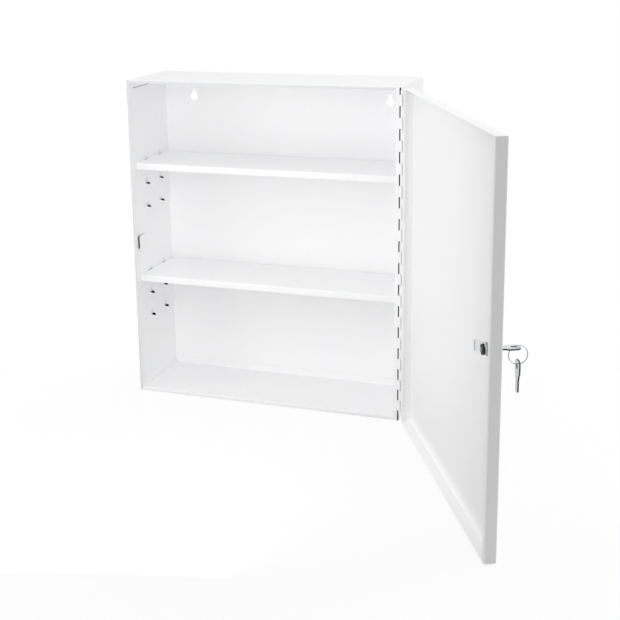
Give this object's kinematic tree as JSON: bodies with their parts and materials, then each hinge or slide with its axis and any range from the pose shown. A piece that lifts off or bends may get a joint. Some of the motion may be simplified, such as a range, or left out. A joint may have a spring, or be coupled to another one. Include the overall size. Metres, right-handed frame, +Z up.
{
  "type": "lockable medicine cabinet",
  "caption": "Wall-hung lockable medicine cabinet in folded sheet steel, with lift-out shelves and a pan door on a full-height hinge.",
  "frame": {"origin": "midway between the centres of the two keyholes, on the outside of the back", "axes": "+X along the wall toward the hinge side, +Y into the wall, +Z up; the front faces -Y"},
  "size_m": [0.6765, 0.5309, 0.508],
  "materials": {
    "painted_steel": "smooth white powder coat, low gloss",
    "hinge_pin_steel": "drawn wire, bare",
    "nickel_plate": "satin nickel plate on die-cast zinc",
    "zinc_plate": "bright zinc plate",
    "wafer_brass": "stamped, bare",
    "spring_steel": "bare spring wire",
    "black_steel": "black oxide",
    "key_nickel": "nickel plate, lightly scratched"
  },
  "bodies": {
    "cabinet": {"body_wrap": "painted_steel", "top_pan": "painted_steel", "bottom_pan": "painted_steel", "strike_keeper": "painted_steel", "hinge_cabinet_leaf": "painted_steel", "hinge_pin": "hinge_pin_steel"},
    "door": {"door_pan": "painted_steel", "door_liner": "painted_steel", "hinge_door_leaf": "painted_steel", "lock_housing": "nickel_plate", "lock_nut": "zinc_plate"},
    "lock_core": {"lock_plug": "nickel_plate", "lock_wafers": "wafer_brass", "wafer_springs": "spring_steel", "lock_cam": "zinc_plate", "cam_washer": "zinc_plate", "cam_nut": "black_steel"},
    "key_in_lock": {"key": "key_nickel"},
    "ring": {"key_ring": "key_nickel"},
    "hanging_key": {"spare_key": "key_nickel"},
    "upper_shelf": {"shelf_upper": "painted_steel"},
    "lower_shelf": {"shelf_lower": "painted_steel"}
  },
  "joints": [
    {"name": "door_hinge", "type": "hinge", "parent": "cabinet", "child": "door", "pos_m": [0.2203, -0.14195, -0.2135], "axis": [0, 0, 1], "range_deg": [-117, 63]},
    {"name": "lock_turn", "type": "hinge", "parent": "door", "child": "lock_core", "pos_m": [0.4124, -0.51466, -0.2067], "axis": [0.891, 0.454, 0], "range_deg": [0, 180]},
    {"name": "key_pull", "type": "slide", "parent": "lock_core", "child": "key_in_lock", "axis": [0.891, 0.454, 0], "range_m": [0, 0.022]},
    {"name": "ring_swing", "type": "hinge", "parent": "key_in_lock", "child": "ring", "pos_m": [0.44768, -0.49669, -0.2067], "axis": [0.891, 0.454, 0], "range_deg": [-20, 20]},
    {"name": "spare_key_swing", "type": "hinge", "parent": "ring", "child": "hanging_key", "pos_m": [0.44768, -0.49669, -0.22827], "axis": [0.891, 0.454, 0], "range_deg": [-40, 40]},
    {"name": "upper_shelf_lift", "type": "slide", "parent": "cabinet", "child": "upper_shelf", "axis": [0, 0, 1], "range_m": [0, 0.06]},
    {"name": "lower_shelf_lift", "type": "slide", "parent": "cabinet", "child": "lower_shelf", "axis": [0, 0, 1], "range_m": [0, 0.035]}
  ]
}
